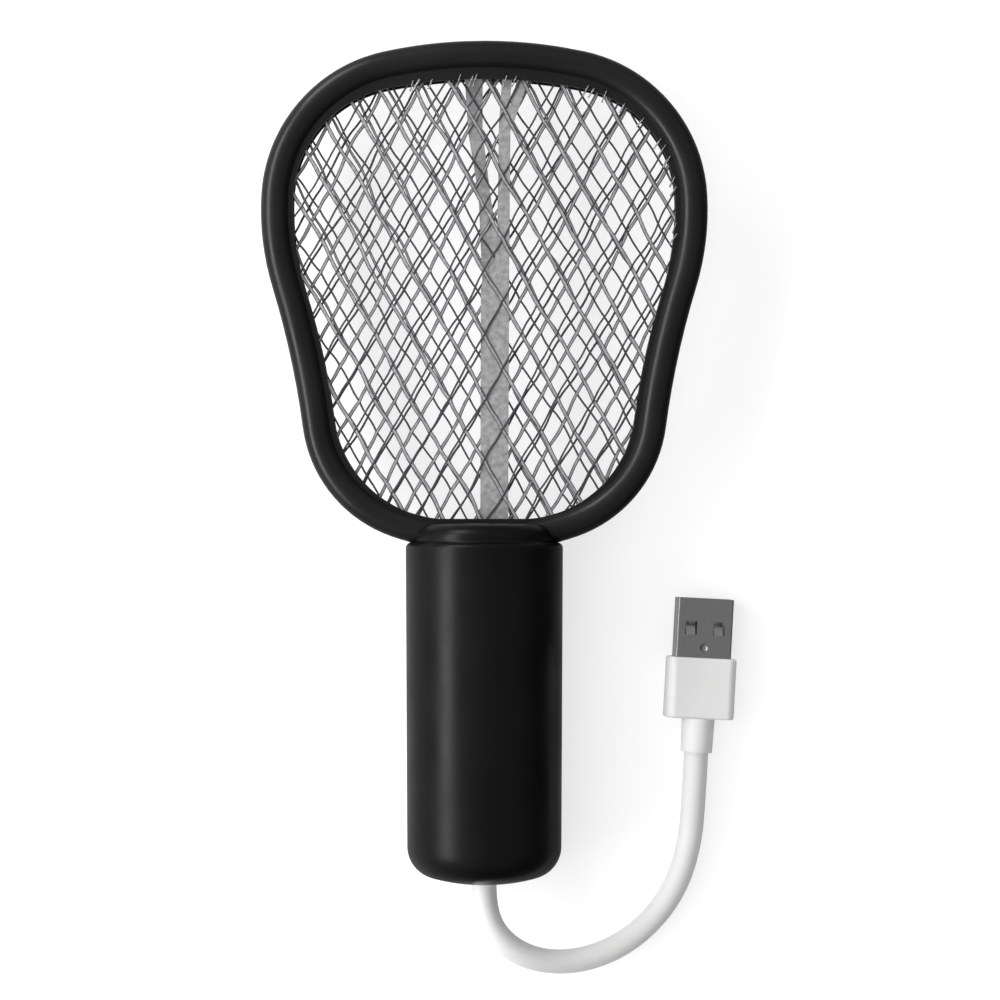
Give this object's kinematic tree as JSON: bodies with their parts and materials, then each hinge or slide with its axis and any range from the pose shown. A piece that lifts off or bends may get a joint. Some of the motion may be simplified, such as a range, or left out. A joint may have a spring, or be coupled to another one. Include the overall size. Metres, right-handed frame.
{
  "type": "electric fly swatter",
  "caption": "Hand-held electric fly swatter: a round-shouldered head with wire nets in a rim, on a thick round handle with a charging cord and plug.",
  "frame": {"origin": "on the surface that the flat back of the handle rests on, under the middle of the swatter's box, the free cord and plug left out", "axes": "+Y along the handle towards the head, +X to the right seen from the front, +Z out of the front face"},
  "size_m": [0.1648, 0.3227, 0.0483],
  "materials": {
    "black_abs": "satin",
    "net_wire": "dull",
    "grey_plastic": "matt",
    "screw_steel": "zinc plated",
    "button_grey": "matt",
    "spring_steel": "bright",
    "switch_metal": "bright",
    "lens_clear": "clear",
    "board_green": "lacquered",
    "cell_wrap": "shrink sleeve",
    "strip_nickel": "bright",
    "ferrite": "matt",
    "winding_copper": "enamelled copper",
    "film_brown": "dipped",
    "ceramic_blue": "dipped",
    "black_epoxy": "matt",
    "resistor_tan": "matt",
    "lead_red": "satin",
    "white_rubber": "satin",
    "white_plastic": "satin",
    "plug_steel": "satin",
    "contact_gold": "gold plated"
  },
  "bodies": {
    "swatter": {"frame_front": "black_abs", "frame_rear": "black_abs", "net_front": "net_wire", "net_middle": "net_wire", "net_rear": "net_wire", "spacer_front": "grey_plastic", "spacer_rear": "grey_plastic", "rib_front": "grey_plastic", "rib_rear": "grey_plastic", "handle_front_shell": "black_abs", "handle_rear_shell": "black_abs", "handle_screws": "screw_steel", "rim_screws": "screw_steel", "board_screws": "screw_steel", "trigger_switch": "black_abs", "trigger_spring": "spring_steel", "power_switch": "switch_metal", "lamp_lens": "lens_clear", "lamp_diode": "lens_clear", "circuit_board": "board_green", "battery_cell": "cell_wrap", "battery_strip_top": "strip_nickel", "battery_strip_end": "strip_nickel", "battery_cradle": "black_abs", "transformer_core": "ferrite", "transformer_winding": "winding_copper", "high_voltage_capacitor": "film_brown", "ladder_capacitors": "ceramic_blue", "ladder_diodes": "black_epoxy", "bleed_resistors": "resistor_tan", "drive_transistor": "black_epoxy", "charge_chip": "black_epoxy", "net_leads": "lead_red", "battery_leads": "lead_red", "cord_cores": "lead_red", "cord_gland": "white_rubber", "cord_tail": "white_rubber", "cord_retainer": "white_plastic", "usb_cord": "white_rubber", "plug_collar": "white_rubber", "plug_grip": "white_plastic", "plug_shell": "plug_steel", "plug_tongue": "white_plastic", "plug_contacts": "contact_gold"},
    "trigger": {"trigger_button": "button_grey", "trigger_plunger": "grey_plastic"},
    "power": {"power_knob": "button_grey", "power_lever": "grey_plastic"}
  },
  "joints": [
    {"name": "trigger_press", "type": "slide", "parent": "swatter", "child": "trigger", "axis": [0, 0, 1], "range_m": [0, 0.0009], "stiffness_N_per_m": 400, "springref_m": -0.002, "deforming": ["trigger_spring"]},
    {"name": "power_slide", "type": "slide", "parent": "swatter", "child": "power", "axis": [0, 1, 0], "range_m": [0, 0.004]}
  ]
}
